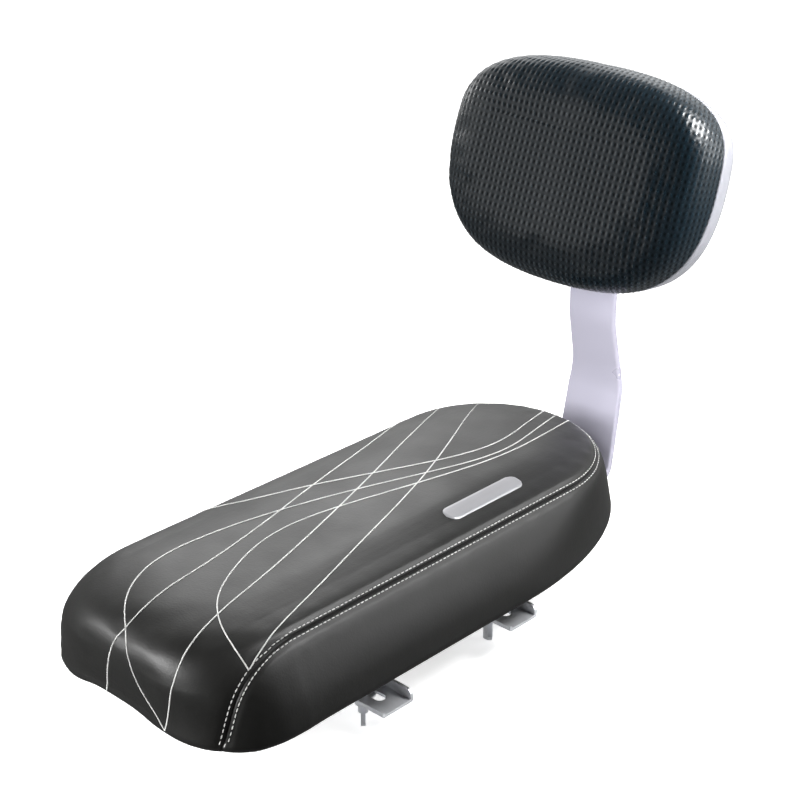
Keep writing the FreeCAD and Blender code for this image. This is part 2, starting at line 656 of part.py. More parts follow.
def pad_outline(name, inset, z):
    rise, fall = size("pad_rise") - inset, size("pad_fall") - inset
    half_width = size("pad_width") / 2 - inset
    widest = (size("pad_fall") - size("pad_rise")) / 2
    power = 2 / size("pad_squareness")
    points = []
    for step in range(OUTLINE_POINTS):
        turn = 2 * math.pi * (step + 0.5) / OUTLINE_POINTS
        across = math.copysign(abs(math.cos(turn)) ** power, math.cos(turn))
        up = math.copysign(abs(math.sin(turn)) ** power, math.sin(turn))
        x = half_width * across * (1 - size("pad_taper") * up)
        points.append(Vector(x, widest + up * (rise if up > 0 else fall), z))
    curve = Part.BSplineCurve()
    curve.interpolate(points, PeriodicFlag=True)
    return feature(name, Part.Wire([curve.toShape()]))


def stacked_loft(name, levels):
    """A loft through pad outlines; each level is an inset and a height."""
    wires = [pad_outline(f"{name}_{number}", inset, z) for number, (inset, z) in enumerate(levels, start=1)]
    return loft(name, wires)


def pad_form(name, inset):
    rings = [(0, -size("pad_cover") + inset)]
    for part in ("edge", "roll", "brow", "front", "top", "crown"):
        rings.append((size(f"pad_{part}_inset"), size(f"pad_{part}_depth") - inset))
    return stacked_loft(name, [(inset + ring_inset, z) for ring_inset, z in rings])


pad_board_wire = pad_outline("pad_board_outline", size("pad_cover") + size("pad_board_edge"), 0)
pad_board_blank = extrude("pad_board_blank", pad_board_wire, "sizes.pad_board_thickness")
pad_board_cuts = []
for number, (x, y) in enumerate(back_places, start=1):
    pad_board_cuts += [
        cylinder(f"pad_board_hole_{number}", "sizes.tee_barrel + sizes.tee_play",
                 "sizes.pad_board_thickness", x, y),
        cylinder(f"pad_board_seat_{number}", "sizes.tee_flange + sizes.tee_play",
                 "sizes.tee_flange_thickness", x, y,
                 "sizes.pad_board_thickness - sizes.tee_flange_thickness"),
    ]
node(lean(cut("backrest_board", pad_board_blank, pad_board_cuts)), "backrest_board")

pad_outer = pad_form("pad_outer", 0)
pad_inner = pad_form("pad_inner", size("pad_cover"))
node(lean(cut("backrest_foam", pad_inner, [pad_board_blank])), "backrest_foam")
pad_opening_wire = pad_outline("pad_opening_outline", size("pad_hem_width"), -size("pad_cover"))
pad_opening = extrude("pad_opening", pad_opening_wire, "sizes.pad_cover + sizes.pad_board_thickness")
node(lean(cut("backrest_cover", pad_outer, [pad_inner, pad_opening])), "backrest_cover")

# Shell: a dished back, hollow, with a boss round each bolt that reaches to the board

# Each level of the dish: inset, depth and the share of the wall that lies sideways there
shell_levels = [
    (size("shell_rim_inset"), size("pad_cover"), 1.0),
    (size("shell_side_inset"), size("shell_side_depth"), 1.0),
    (size("shell_turn_inset"), size("shell_turn_depth"), 0.6),
    (size("shell_dish_inset"), size("shell_dish_depth"), 0.25),
    (size("shell_back_inset"), size("shell_back_depth"), 0.0),
    (size("shell_flat_inset"), size("shell_depth"), 0.0),
]
shell_outer = stacked_loft("shell_outer", [(inset, -depth) for inset, depth, share in shell_levels])
shell_inner = stacked_loft("shell_inner", [
    (inset + share * size("shell_wall"), -depth + (1 - share) * size("shell_wall"))
    for inset, depth, share in shell_levels])
shell_skin = cut("shell_skin", shell_outer, [shell_inner])
bosses = [cylinder(f"shell_boss_{number}", "sizes.boss_diameter", "sizes.shell_depth - sizes.shell_wall / 2",
                   x, y, "-sizes.shell_depth + sizes.shell_wall / 2")
          for number, (x, y) in enumerate(back_places, start=1)]
boss_bores = [cylinder(f"shell_bore_{number}", hole, "2 * sizes.shell_depth", x, y,
                       "-1.5 * sizes.shell_depth")
              for number, (x, y) in enumerate(back_places, start=1)]
node(lean(cut("backrest_shell", fuse("shell_with_bosses", [shell_skin] + bosses), boss_bores)),
     "backrest_shell")

# Check, then write one file for each sub-part

doc.recompute()
for obj in doc.Objects:
    if {"Invalid", "Error"} & set(obj.State):
        raise RuntimeError(f"{obj.Name} failed: {obj.State}")
os.makedirs("parts", exist_ok=True)
for obj in nodes:
    shape = obj.Shape
    if shape.isNull() or not shape.isValid() or not shape.Solids:
        raise RuntimeError(f"{obj.Label}: no valid solid")
for obj in nodes:
    obj.Shape.exportStep(f"parts/{obj.Label}.step")
    bounds = obj.Shape.BoundBox
    print(f"{obj.Label}: {len(obj.Shape.Solids)} solid(s), {obj.Shape.Volume / 1000:.1f} cm3, "
          f"x {bounds.XMin:.1f}..{bounds.XMax:.1f}  y {bounds.YMin:.1f}..{bounds.YMax:.1f}  "
          f"z {bounds.ZMin:.1f}..{bounds.ZMax:.1f}")
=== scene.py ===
# %% [markdown]
# Rear rack cushion seat.
# A long padded seat for a bicycle's rear rack, with a small padded backrest on a bent flat bar.
# The solids of the part give every place and size; this lesson dresses them: sewn artificial leather,
# embossed vinyl, painted and plated steel, thread and plywood.

import math

import bmesh
import bpy
from mathutils import Matrix, Vector
from mathutils.bvhtree import BVHTree
from mathutils.kdtree import KDTree


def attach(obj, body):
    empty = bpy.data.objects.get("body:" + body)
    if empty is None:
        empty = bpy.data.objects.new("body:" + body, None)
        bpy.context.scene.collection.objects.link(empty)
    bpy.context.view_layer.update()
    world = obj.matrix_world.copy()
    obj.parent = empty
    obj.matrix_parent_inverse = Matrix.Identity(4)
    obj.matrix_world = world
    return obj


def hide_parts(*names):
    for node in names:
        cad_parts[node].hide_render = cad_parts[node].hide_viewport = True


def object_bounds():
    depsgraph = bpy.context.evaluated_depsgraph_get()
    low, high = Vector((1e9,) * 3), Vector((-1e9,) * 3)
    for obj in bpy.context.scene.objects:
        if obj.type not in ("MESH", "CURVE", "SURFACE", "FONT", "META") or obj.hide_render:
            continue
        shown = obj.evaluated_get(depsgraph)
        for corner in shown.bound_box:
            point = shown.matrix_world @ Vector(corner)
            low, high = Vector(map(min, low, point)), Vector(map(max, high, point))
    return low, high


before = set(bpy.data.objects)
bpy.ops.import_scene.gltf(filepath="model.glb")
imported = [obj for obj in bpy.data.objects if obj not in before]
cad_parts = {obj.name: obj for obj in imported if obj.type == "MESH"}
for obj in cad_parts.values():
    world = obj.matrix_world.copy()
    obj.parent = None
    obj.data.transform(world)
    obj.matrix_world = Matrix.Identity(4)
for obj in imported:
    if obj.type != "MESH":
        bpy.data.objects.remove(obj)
cad_low, cad_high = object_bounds()
MM = 0.001
print("solids span", [round((high - low) / MM) for low, high in zip(cad_low, cad_high)], "mm")

# %% [markdown]
# The camera stands where the photographer stood: above and to the left of the rider, with a long lens.
# Its distance matters as much as its angle, because it sets how much smaller the far end looks.

# %% Camera
CAMERA_PLACE, CAMERA_DIP, CAMERA_TURN = (680.3, -696.9, 562.9), 24.65, 43.54  # mm and degrees

camera_data = bpy.data.cameras.new("camera")
camera_data.lens = 81.9
camera_data.sensor_width = 36
camera = bpy.data.objects.new("camera", camera_data)
camera.location = Vector(CAMERA_PLACE) * MM
camera.rotation_euler = (math.radians(90 - CAMERA_DIP), 0, math.radians(CAMERA_TURN))
bpy.context.scene.collection.objects.link(camera)
bpy.context.scene.camera = camera
print("camera at", [round(value, 3) for value in camera.location])

# %% [markdown]
# A material is a small graph. One helper adds a node, sets its fields and wires its inputs; the others
# name what is used again and again: noise, a range of values, a blend of two colours and a bump.
# Colours are written as the hex values a painter would pick on screen and turned to linear light here.

# %% Colour and node helpers
def colour(hex_value):
    """Linear colour from an sRGB hex value such as "1d1d1c"."""
    channels = [int(hex_value[i:i + 2], 16) / 255 for i in (0, 2, 4)]
    linear = [c / 12.92 if c <= 0.04045 else ((c + 0.055) / 1.055) ** 2.4 for c in channels]
    return (*linear, 1.0)


def add(tree, kind, inputs=None, **settings):
    """Adds a node; an input is a plain value, or another node's output socket to link from."""
    made = tree.nodes.new(kind)
    for field, value in settings.items():
        setattr(made, field, value)
    for name, value in (inputs or {}).items():
        if isinstance(value, bpy.types.NodeSocket):
            tree.links.new(value, made.inputs[name])
        else:
            made.inputs[name].default_value = value
    return made


def new_material(name, **surface):
    """A material with one Principled surface, its tree, and the object's own coordinates.
    The surface's sockets are set by their names, with _ for a space."""
    material = bpy.data.materials.new(name)
    material.use_nodes = True
    tree = material.node_tree
    shader = tree.nodes["Principled BSDF"]
    for field, value in surface.items():
        shader.inputs[field.replace("_", " ")].default_value = value
    return material, tree, shader, add(tree, "ShaderNodeTexCoord").outputs["Object"]


def wire(tree, shader, **outputs):
    """Links outputs to the sockets of a shader, named with _ for a space."""
    for field, output in outputs.items():
        tree.links.new(output, shader.inputs[field.replace("_", " ")])


def noise(tree, spot, grain, detail, **inputs):
    """Noise whose blotches measure about grain mm."""
    made = add(tree, "ShaderNodeTexNoise",
               {"Vector": spot, "Scale": 1 / (grain * MM), "Detail": detail, **inputs})
    return made.outputs["Fac"]


def spread(tree, value, low, high, start=0.0, end=1.0, **settings):
    """Takes a value that runs from start to end, and makes it run from low to high."""
    made = add(tree, "ShaderNodeMapRange", {"Value": value, "From Min": start, "From Max": end,
                                            "To Min": low, "To Max": high}, **settings)
    return made.outputs["Result"]


def blend(tree, factor, first, second):
    """A mix of two hex colours."""
    made = add(tree, "ShaderNodeMix",
               {"Factor": factor, "A": colour(first), "B": colour(second)}, data_type="RGBA")
    return made.outputs["Result"]


def relief(tree, height, strength, depth, **inputs):
    """A bump, its depth in mm."""
    made = add(tree, "ShaderNodeBump",
               {"Height": height, "Strength": strength, "Distance": depth * MM, **inputs})
    return made.outputs["Normal"]


# %% [markdown]
# The seat is covered in artificial leather: PU on a knit, calendered with a fine pebble grain.
# It is black, half glossy, and its grain breaks the highlights a little. The real grain is about
# 0.6 mm; it is drawn at 1.1 mm so that it shows at this distance. A slow mottle changes the gloss,
# as handled leather does.

# %% Seat leather
PEBBLE, CREASE, MOTTLE = 1.1, 9.0, 40.0  # mm

leather, tree, shader, spot = new_material("black artificial leather", IOR=1.38)
pebbles = add(tree, "ShaderNodeTexVoronoi",
              {"Vector": spot, "Scale": 1 / (PEBBLE * MM), "Randomness": 1.0}, feature="SMOOTH_F1")
creases = noise(tree, spot, CREASE, 3.0)
mottle = noise(tree, spot, MOTTLE, 2.0)
folds = relief(tree, creases, 0.25, 0.4)
wire(tree, shader,
     Base_Color=blend(tree, creases, "0b0b0a", "131312"),
     Roughness=spread(tree, mottle, 0.42, 0.5, start=0.3, end=0.7),
     Normal=relief(tree, pebbles.outputs["Distance"], 0.35, 0.12, Normal=folds))
print(leather.name, "with a grain of", PEBBLE, "mm")

# %% [markdown]
# The backrest is covered in glossier PVC, embossed while warm with rows of small pits and beads.
# The UV map of the pad counts the pits, so one cell of the UV plane is one pit. Along a row the surface
# falls and rises like a cosine, and between the rows the wave dies out: one product of two cosines.
# The floor of a pit is rougher, and it is painted darker and given a weaker specular: painted shade,
# where little light gets in and out. The pits themselves are pressed into the mesh further down, by the
# same product.

# %% Embossed vinyl
ROW_LOW = 0.1  # share of the wave that is left between two rows of pits

vinyl, tree, shader, spot = new_material("embossed black vinyl", IOR=1.5)
pit_count = add(tree, "ShaderNodeTexCoord").outputs["UV"]
turns = add(tree, "ShaderNodeVectorMath", {0: pit_count, "Scale": 2 * math.pi}, operation="SCALE")
cell = add(tree, "ShaderNodeSeparateXYZ", {"Vector": turns.outputs["Vector"]})
along_row, between_rows = (
    add(tree, "ShaderNodeMath", {0: cell.outputs[axis]}, operation="COSINE").outputs["Value"]
    for axis in ("X", "Y"))
row_share = spread(tree, between_rows, ROW_LOW, 1.0, start=-1.0)
wave = add(tree, "ShaderNodeMath", {0: along_row, 1: row_share}, operation="MULTIPLY")
rise = spread(tree, wave.outputs["Value"], 0.0, 1.0, start=-1.0)
skin = noise(tree, spot, 1.4, 2.0)
# Painted shade: the base colour is darker and the specular weaker towards the floor of each pit.
wire(tree, shader,
     Base_Color=blend(tree, rise, "060c0f", "14252f"),
     Roughness=spread(tree, rise, 0.45, 0.2),
     Specular_IOR_Level=spread(tree, rise, 0.08, 1.0),
     Normal=relief(tree, skin, 0.4, 0.1))
print(vinyl.name)

# %% [markdown]
# Steel comes in two finishes. The post is painted a cool, pale silver, with a soft gloss.
# Bars, washers and bolts are blue-white zinc, a little duller, with the cloudy crystals of the bath.

# %% Painted and plated steel
painted, tree, shader, spot = new_material("silver-painted steel", Metallic=0.3,
                                           Base_Color=colour("a5a3b1"))
haze = noise(tree, spot, 30.0, 4.0)
wire(tree, shader, Roughness=spread(tree, haze, 0.24, 0.34))

zinc, tree, shader, spot = new_material("zinc-plated steel", Metallic=0.6)
cloud = noise(tree, spot, 9.0, 3.0)
wire(tree, shader,
     Base_Color=blend(tree, cloud, "c3c5c9", "e0e2e6"),
     Roughness=spread(tree, cloud, 0.28, 0.38))
print(painted.name, "and", zinc.name)

# %% [markdown]
# The pad's back is a moulded ABS shell in the same pale silver as the post.
# Moulded plastic has a faint orange-peel surface and a clear, sharp gloss.

# %% Shell plastic
abs_plastic, tree, shader, spot = new_material("moulded silver ABS", Base_Color=colour("9a9ba2"),
                                               Roughness=0.28, IOR=1.5)
peel = noise(tree, spot, 2.5, 2.0)
wire(tree, shader, Normal=relief(tree, peel, 0.12, 0.06))
print(abs_plastic.name)

# %% [markdown]
# Boards are plywood stained black, seen only from below: the long grain still shows through the stain.
# The thread is a little uneven, ply by ply, and the label's foil is brushed along its length.

# %% Plywood, thread and label metal
plywood, tree, shader, spot = new_material("black-stained plywood", Roughness=0.65)
along = add(tree, "ShaderNodeMapping", {"Vector": spot, "Scale": (1.0, 0.08, 1.0)})
streak = noise(tree, along.outputs["Vector"], 5.0, 6.0, Distortion=0.6)
wire(tree, shader,
     Base_Color=blend(tree, streak, "1d1b19", "2e2a26"),
     Normal=relief(tree, streak, 0.3, 0.2))

thread_white, tree, shader, spot = new_material("white polyester thread", Roughness=0.55,
                                                Sheen_Weight=0.2)
ply = noise(tree, spot, 0.8, 1.0)
wire(tree, shader, Base_Color=blend(tree, ply, "9a9a98", "c0c0be"))

label_metal, tree, shader, spot = new_material("satin aluminium foil label", Metallic=0.3,
                                               Base_Color=colour("828285"))
brush = add(tree, "ShaderNodeMapping", {"Vector": spot, "Scale": (1.0, 0.03, 1.0)})
lines = noise(tree, brush.outputs["Vector"], 0.5, 2.0)
wire(tree, shader, Roughness=spread(tree, lines, 0.32, 0.46))
print(plywood.name, thread_white.name, label_metal.name)

# %% [markdown]
# Every piece ends the same way: the bmesh becomes a mesh object at the origin, its faces are smooth,
# it rides on a body of the part, and the solids that it stands for are hidden.

# %% Piece helpers
def finish_piece(name, bm, material, body, replaced=()):
    for face in bm.faces:
        face.smooth = True
    mesh = bpy.data.meshes.new(name)
    bm.to_mesh(mesh)
    bm.free()
    mesh.materials.append(material)
    piece = bpy.data.objects.new(name, mesh)
    bpy.context.scene.collection.objects.link(piece)
    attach(piece, body)
    if replaced:
        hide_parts(*replaced)
    print(f"{name}: {sum(len(face.vertices) - 2 for face in mesh.polygons)} triangles")
    return piece


def face_outwards(bm, rank, outward):
    """Makes all faces agree, and turns them over if the highest-ranked face looks inwards."""
    bmesh.ops.recalc_face_normals(bm, faces=bm.faces[:])
    bm.normal_update()
    if max(bm.faces, key=rank).normal.dot(outward) < 0:
        bmesh.ops.reverse_faces(bm, faces=bm.faces[:])
        bm.normal_update()


def relax(bm, verts, passes=1):
    """Draws points towards their neighbours."""
    for _ in range(passes):
        bmesh.ops.smooth_vert(bm, verts=verts, factor=0.5,
                              use_axis_x=True, use_axis_y=True, use_axis_z=True)


def to_metres(bm):
    bmesh.ops.scale(bm, vec=(MM, MM, MM), verts=bm.verts[:])


def clamp(value):
    return min(1.0, max(0.0, value))


# %% [markdown]
# The cushion's form is a stack of plan outlines: straight front with round corners, straight sides and
# a half-oval rear. Going up, the outlines draw in towards the seam. Between the measured levels a cubic
# gives the sizes, so that the side is one soft curve from hem to seam.

# %% Cushion form
LEVELS = [  # height, half width, front, rear, front corner, rear curve, all in mm
    (0.5, 92.0, 200.0, 193.0, 53.0, 150.0),
    (22.0, 86.75, 200.0, 189.5, 53.0, 146.5),
    (40.0, 76.2, 199.2, 178.4, 55.0, 93.1),
    (48.5, 69.0, 194.0, 171.0, 56.0, 68.0),
]
HEM_HEIGHT = LEVELS[0][0]
SEAM_HEIGHT, SEAM_FOOT, SEAM_BOW, SEAM_PERIOD = 47.0, 69.0, 3.5, 54.0
CROWN, CROWN_SOFTNESS = 6.0, 6.5
HEM_ROUND, HEM_TURN = 3.0, 17.0
HEM_DROP, HEM_FRONT, HEM_FRONT_FADE, HEM_EDGE_FADE = 4.0, -130.0, 45.0, 25.0
HEM_ARCH_X, HEM_ARCH_HALF = -8.0, 28.0  # the part of the front hem that stays up


def level_at(height):
    """Half width, front, rear, corner and curve of the outline at a height."""
    weights = []
    for i, low in enumerate(LEVELS):
        weight = 1.0
        for k, other in enumerate(LEVELS):
            if k != i:
                weight *= (height - other[0]) / (low[0] - other[0])
        weights.append(weight)
    return [sum(w * level[field] for w, level in zip(weights, LEVELS)) for field in range(1, 6)]


def front_y(x, height):
    """Where the front of the outline lies at a distance x from the middle."""
    half, front, _, corner, _ = level_at(height)
    past = max(0.0, x - (half - corner))
    return corner - front - math.sqrt(max(0.0, corner * corner - past * past))


def crown_height(x, y):
    """Height of the top panel: it rises quickly inside the seam and is nearly level in the middle."""
    half, front, rear, corner, curve = level_at(SEAM_HEIGHT)
    x = abs(x)
    if y > rear - curve:
        inside = half * (1 - math.hypot(x / half, (y - rear + curve) / curve))
    elif x > half - corner and y < corner - front:
        inside = corner - math.hypot(x - half + corner, y - corner + front)
    else:
        inside = min(half - x, y + front)
    return SEAM_HEIGHT + CROWN * (1 - math.exp(-max(0.0, inside) / CROWN_SOFTNESS))


def seam_x(height):
    """Distance of the seam from the middle where it runs down the front; it bows outwards a little."""
    return SEAM_FOOT + SEAM_BOW * math.sin(math.pi * height / SEAM_PERIOD)


def hem_drop(point):
    """The front hem hangs a little lower towards the corners than in the middle."""
    near_front = clamp((HEM_FRONT - point.y) / HEM_FRONT_FADE)
    near_edge = clamp(1 - (point.z - HEM_HEIGHT) / HEM_EDGE_FADE)
    arch = math.exp(-((point.x - HEM_ARCH_X) / HEM_ARCH_HALF) ** 4)
    return -HEM_DROP * (1 - arch) * near_front ** 2 * near_edge ** 2


print("outline at 30 mm", [round(value, 1) for value in level_at(30)])

# %% [markdown]
# The top panel is one length of leather: it starts under the front edge, climbs the front, rolls over
# and runs to the rear. A half grid is laid over it and mirrored. Columns crowd towards the seam,
# where the leather dips, and rows follow the front roll and close up at the rear.

# %% Top panel
PANEL_COLUMNS, COLUMN_CROWDING = 34, 1.7
FRONT_ROWS, ROLL_ROWS, RUN_ROWS, REAR_ROWS = 28, 12, 64, 40
UNDER_ROWS, ROUND_ROWS = 4, 5
HEM_ROWS = UNDER_ROWS + ROUND_ROWS
PANEL_ROWS = HEM_ROWS + FRONT_ROWS + ROLL_ROWS + RUN_ROWS + REAR_ROWS
ROLL_END, ROLL_LOW, ROLL_PASSES = -120.0, 30.0, 12
WALL_LOW = HEM_HEIGHT + HEM_ROUND
WELD = 0.001  # mm


def hem_point(step):
    """Inset and height along the rounded lower edge, from 0, under the board, to 1, on the wall."""
    turn = UNDER_ROWS / HEM_ROWS
    if step < turn:
        return HEM_ROUND + (HEM_TURN - HEM_ROUND) * (1 - step / turn), HEM_HEIGHT
    angle = (step - turn) / (1 - turn) * math.pi / 2
    return HEM_ROUND * (1 - math.sin(angle)), HEM_HEIGHT + HEM_ROUND * (1 - math.cos(angle))


def panel_point(across, row):
    """A point of the right half of the panel; across is 0 in the middle and 1 at the seam."""
    share = 1 - (1 - across) ** COLUMN_CROWDING
    if row < HEM_ROWS:
        inset, z = hem_point(row / HEM_ROWS)
        x = seam_x(WALL_LOW) * share
        half, _, _, corner, _ = level_at(WALL_LOW)
        angle = math.asin(max(0.0, x - half + corner) / corner)
        return Vector((x - inset * math.sin(angle), front_y(x, WALL_LOW) + inset * math.cos(angle), z))
    row -= HEM_ROWS
    if row <= FRONT_ROWS:
        z = WALL_LOW + (SEAM_HEIGHT - WALL_LOW) * row / FRONT_ROWS
        x = seam_x(z) * share
        return Vector((x, front_y(x, z), z))
    row -= FRONT_ROWS
    half, _, rear, _, curve = level_at(SEAM_HEIGHT)
    x = half * share
    if row <= ROLL_ROWS:
        step = row / ROLL_ROWS
        y = front_y(x, SEAM_HEIGHT) * (1 - step) + ROLL_END * step
        return Vector((x, y, crown_height(x, y)))
    row -= ROLL_ROWS
    if row <= RUN_ROWS:
        y = ROLL_END + (rear - curve - ROLL_END) * row / RUN_ROWS
        return Vector((x, y, crown_height(x, y)))
    angle = (row - RUN_ROWS) / REAR_ROWS * math.pi / 2
    x *= math.cos(angle)
    y = rear - curve + curve * math.sin(angle)
    return Vector((x, y, crown_height(x, y)))


def mirror_half(bm):
    """Adds the left half and welds the two along the middle."""
    bmesh.ops.mirror(bm, geom=bm.verts[:] + bm.edges[:] + bm.faces[:], matrix=Matrix(),
                     merge_dist=WELD, axis="X")
    bmesh.ops.remove_doubles(bm, verts=bm.verts[:], dist=WELD)


panel = bmesh.new()
bmesh.ops.create_grid(panel, x_segments=PANEL_COLUMNS, y_segments=PANEL_ROWS, size=0.5)
for vert in panel.verts:
    vert.co = panel_point(vert.co.x + 0.5, round((vert.co.y + 0.5) * PANEL_ROWS))
mirror_half(panel)
face_outwards(panel, lambda face: face.calc_center_median().z, Vector((0, 0, 1)))
relax(panel, [vert for vert in panel.verts if vert.co.y < ROLL_END and vert.co.z > ROLL_LOW
              and not vert.is_boundary], ROLL_PASSES)
print("panel grid", len(panel.verts), "points")

# %% [markdown]
# The side band runs from one front corner round the rear to the other. At the corners it narrows to
# nothing, because the seam drops down the front. Each column of its grid hangs from one point of the
# panel's border, follows the wall down, round the lower edge and under the board, so the two pieces
# meet point to point along the seam.

# %% Side band
WALL_ROWS, ROW_CROWDING = 26, 1.5
BAND_COLUMNS = PANEL_ROWS - HEM_ROWS
BAND_ROWS = WALL_ROWS + HEM_ROWS
BAND_MIDDLE = 25.0
border = [panel_point(1.0, HEM_ROWS + column) for column in range(BAND_COLUMNS + 1)]


def ring_point(column, height, inset):
    """Point of the outline at a height, below the seam's point of that column."""
    top = border[column]
    half, front, rear, corner, curve = level_at(top.z)
    side_start, side_end = corner - front, rear - curve
    past_corner = math.asin(min(1.0, (top.x - half + corner) / corner))
    along_side = (top.y - side_start) / (side_end - side_start)
    round_rear = (column - BAND_COLUMNS + REAR_ROWS) / REAR_ROWS * math.pi / 2
    half, front, rear, corner, curve = [size - inset for size in level_at(height)]
    if column <= FRONT_ROWS:
        x = half - corner * (1 - math.sin(past_corner))
        return Vector((x, corner * (1 - math.cos(past_corner)) - front, height))
    side_start, side_end = corner - front, rear - curve
    if round_rear <= 0:
        return Vector((half, side_start + (side_end - side_start) * along_side, height))
    return Vector((half * math.cos(round_rear), side_end + curve * math.sin(round_rear), height))


def band_point(column, row):
    """A point of the right half of the band; row 0 lies on the seam."""
    if row <= WALL_ROWS:
        top = border[column].z
        return ring_point(column, top + (WALL_LOW - top) * (row / WALL_ROWS) ** ROW_CROWDING, 0)
    inset, z = hem_point((BAND_ROWS - row) / HEM_ROWS)
    point = ring_point(column, WALL_LOW, inset)
    point.z = z
    return point


def far_right(face):
    middle = face.calc_center_median()
    return middle.x - abs(middle.z - BAND_MIDDLE)


band = bmesh.new()
bmesh.ops.create_grid(band, x_segments=BAND_COLUMNS, y_segments=BAND_ROWS, size=0.5)
for vert in band.verts:
    vert.co = band_point(round((vert.co.x + 0.5) * BAND_COLUMNS), round((vert.co.y + 0.5) * BAND_ROWS))
mirror_half(band)
face_outwards(band, far_right, Vector((1, 0, 0)))
print("band grid", len(band.verts), "points")

# %% [markdown]
# The seam is where the two grids meet. Its line is kept as points, so that the groove, the gathers and
# the stitches can all be measured from it.

# %% Seam line
seam_right = [panel_point(1.0, row) for row in range(PANEL_ROWS + 1)]
seam_line = seam_right + [Vector((-point.x, point.y, point.z)) for point in reversed(seam_right[:-1])]
seam_reach = [0.0]
for before, after in zip(seam_line, seam_line[1:]):
    seam_reach.append(seam_reach[-1] + (after - before).length)
seam_tree = KDTree(len(seam_line))
for index, point in enumerate(seam_line):
    seam_tree.insert(point, index)
seam_tree.balance()


def from_seam(point):
    """Distance from the seam, and how far along it the nearest point lies."""
    _, index, best = seam_tree.find(point)
    reach = seam_reach[index]
    for start in (index - 1, index):
        if 0 <= start < len(seam_line) - 1:
            span = seam_line[start + 1] - seam_line[start]
            if span.length_squared > 0:
                share = clamp((point - seam_line[start]).dot(span) / span.length_squared)
                gap = (point - seam_line[start] - span * share).length
                if gap < best:
                    best, reach = gap, seam_reach[start] + span.length * share
    return best, reach


print("seam runs", round(seam_reach[-1]), "mm")

# %% [markdown]
# The padding swells between its seams. A copy of the whole cushion is remeshed into even squares, the
# seam and the underside are pinned, and Blender's cloth solver blows it up a little against its own
# stiffness. What each point of the simulated skin moved is then handed on to the fine grids.

# %% Cloth solver
CLOTH_SETTINGS = {
    "quality": 5, "mass": 0.4, "tension_stiffness": 12, "compression_stiffness": 12, "shear_stiffness": 6,
    "bending_stiffness": 0.6, "use_pressure": True, "uniform_pressure_force": 4.0,
    "vertex_group_mass": "sewn",
}
CLOTH_SQUARE, CLOTH_FRAMES = 5.0, 20
SEAT_SWELL, PIN_HEIGHT, PIN_REACH = 2.0, 5.0, 9.0


def even_skin(name, grids):
    """A closed object, in metres, made of even squares over some grids in mm."""
    source = bmesh.new()
    for grid in grids:
        copy = bpy.data.meshes.new("copy")
        grid.to_mesh(copy)
        source.from_mesh(copy)
        bpy.data.meshes.remove(copy)
    bmesh.ops.remove_doubles(source, verts=source.verts[:], dist=0.05)
    bmesh.ops.holes_fill(source, edges=source.edges[:])
    bmesh.ops.recalc_face_normals(source, faces=source.faces[:])
    to_metres(source)
    mesh = bpy.data.meshes.new(name)
    source.to_mesh(mesh)
    source.free()
    skin = bpy.data.objects.new(name, mesh)
    bpy.context.scene.collection.objects.link(skin)
    bpy.context.view_layer.objects.active = skin
    skin.select_set(True)
    remesh = skin.modifiers.new("even squares", "REMESH")
    remesh.mode = "VOXEL"
    remesh.voxel_size = CLOTH_SQUARE * MM
    bpy.ops.object.modifier_apply(modifier=remesh.name)
    return skin


def swell(name, grids, pinned, cap):
    """Simulates a padded form made of grids in mm and moves their points by what the skin moved."""
    skin = even_skin(name, grids)
    before = [vert.co / MM for vert in skin.data.vertices]
    group = skin.vertex_groups.new(name="sewn")
    for vert in skin.data.vertices:
        group.add([vert.index], pinned(vert.co / MM), "REPLACE")
    cloth = skin.modifiers.new("cloth", "CLOTH")
    for field, value in CLOTH_SETTINGS.items():
        setattr(cloth.settings, field, value)
    cloth.settings.effector_weights.gravity = 0
    cloth.collision_settings.use_collision = False
    scene = bpy.context.scene
    for step in range(1, CLOTH_FRAMES + 1):
        scene.frame_set(step)
    bpy.ops.object.modifier_apply(modifier=cloth.name)
    scene.frame_set(1)
    after = [vert.co / MM for vert in skin.data.vertices]
    faces = [tuple(face.vertices) for face in skin.data.polygons]
    bpy.data.objects.remove(skin)
    moves = []
    for old, new in zip(before, after):
        move = new - old
        moves.append(move * (min(1.0, cap / move.length) if move.length > 0 else 0.0))
    hull = BVHTree.FromPolygons(before, faces)
    for grid in grids:
        for vert in grid.verts:
            place, _, face, _ = hull.find_nearest(vert.co)
            corners = faces[face]
            weights = [1 / (0.2 + (before[corner] - place).length) for corner in corners]
            vert.co += sum((moves[c] * w for c, w in zip(corners, weights)), Vector()) / sum(weights)
        relax(grid, [vert for vert in grid.verts if not vert.is_boundary])
    print(f"{name}: {len(before)} points, largest move {max(move.length for move in moves):.1f} mm")


def seat_pins(point):
    """Sewn fast at the seam and under the board, free in between."""
    if point.z < PIN_HEIGHT:
        return 1.0
    gap, _ = from_seam(point)
    return max(0.0, 1 - gap / PIN_REACH)


swell("seat padding", [panel, band], seat_pins, cap=SEAT_SWELL)

# %% [markdown]
# Now the sewing. Near the seam both pieces of leather are drawn down into a flat flange with a narrow
# groove in its middle, and the pull of the thread gathers the leather into small ripples.
# Close to the hem, where the leather turns under, all this fades.

# %% Seam groove and gathers
GROOVE_DEPTH, GROOVE_WIDTH = 1.2, 0.75
FLANGE_DEPTH, FLANGE_WIDTH = 1.0, 4.2
SHOULDER_RISE, SHOULDER_GAP, SHOULDER_WIDTH = 0.15, 10.0, 4.5
GATHER_RISE, GATHER_GAP, GATHER_WIDTH = 0.1, 8.0, 4.5
FADE_HEIGHT, FADE_LEAST = 6.0, 0.15


